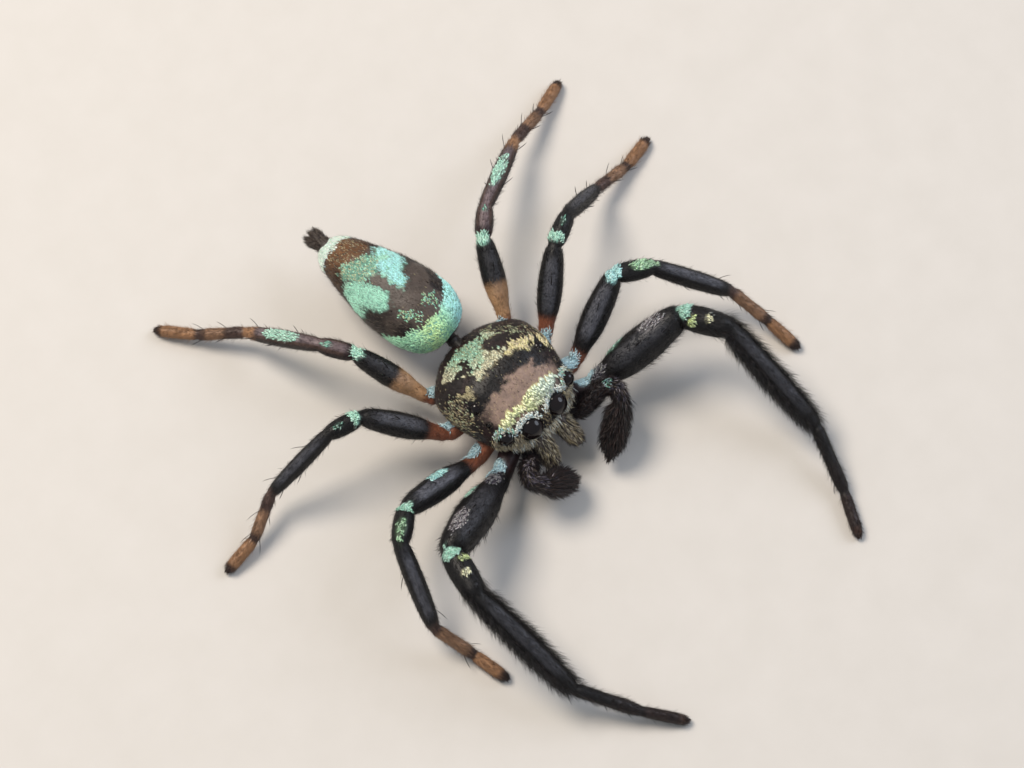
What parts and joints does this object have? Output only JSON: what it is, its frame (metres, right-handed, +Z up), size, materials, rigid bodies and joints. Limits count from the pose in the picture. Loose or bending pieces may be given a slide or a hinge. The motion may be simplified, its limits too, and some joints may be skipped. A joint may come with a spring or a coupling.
{
  "type": "metallic jumping spider figure",
  "caption": "Life-size still model of a jumping spider standing on spread legs, with a high square-fronted head, big front eyes, bushy palps and an egg-shaped abdomen.",
  "frame": {"origin": "middle of the footprint, on the floor that the feet stand on", "axes": "+Z up, the spider faces -Y, its left side is towards +X"},
  "size_m": [0.0174, 0.0184, 0.0029],
  "materials": {
    "carapace": "dark brown cuticle under gold, green and pale scales, smooth pinkish brown between the eyes",
    "abdomen": "brown cuticle with metallic blue-green scale patches",
    "leg_dark": "black cuticle with a violet-blue sheen and dark hairs",
    "leg_orange": "orange-brown cuticle with fine hairs and a dark tip",
    "palp": "dark brown, densely haired",
    "chelicera": "dark grey-brown, smooth",
    "eye": "glossy black lens"
  },
  "bodies": {
    "root": {"abdomen": "abdomen", "cephalothorax": "carapace", "chelicera_left": "chelicera", "chelicera_right": "chelicera", "eye_anterior_lateral_left": "eye", "eye_anterior_lateral_right": "eye", "eye_anterior_median_left": "eye", "eye_anterior_median_right": "eye", "eye_posterior_lateral_left": "eye", "eye_posterior_lateral_right": "eye", "eye_posterior_median_left": "eye", "eye_posterior_median_right": "eye", "leg_left_1_femur": "leg_dark", "leg_left_1_metatarsus": "leg_dark", "leg_left_1_tarsus": "leg_orange", "leg_left_1_tibia": "leg_dark", "leg_left_2_femur": "leg_dark", "leg_left_2_metatarsus": "leg_orange", "leg_left_2_tarsus": "leg_orange", "leg_left_2_tibia": "leg_dark", "leg_left_3_femur": "leg_dark", "leg_left_3_metatarsus": "leg_orange", "leg_left_3_tarsus": "leg_orange", "leg_left_3_tibia": "leg_dark", "leg_left_4_femur": "leg_dark", "leg_left_4_metatarsus": "leg_orange", "leg_left_4_tarsus": "leg_orange", "leg_left_4_tibia": "leg_dark", "leg_right_1_femur": "leg_dark", "leg_right_1_metatarsus": "leg_dark", "leg_right_1_tarsus": "leg_orange", "leg_right_1_tibia": "leg_dark", "leg_right_2_femur": "leg_dark", "leg_right_2_metatarsus": "leg_orange", "leg_right_2_tarsus": "leg_orange", "leg_right_2_tibia": "leg_dark", "leg_right_3_femur": "leg_dark", "leg_right_3_metatarsus": "leg_orange", "leg_right_3_tarsus": "leg_orange", "leg_right_3_tibia": "leg_dark", "leg_right_4_femur": "leg_dark", "leg_right_4_metatarsus": "leg_orange", "leg_right_4_tarsus": "leg_orange", "leg_right_4_tibia": "leg_dark", "palp_left_arm": "palp", "palp_left_cymbium": "palp", "palp_right_arm": "palp", "palp_right_cymbium": "palp", "pedicel": "carapace", "spinnerets": "abdomen"}
  },
  "joints": []
}
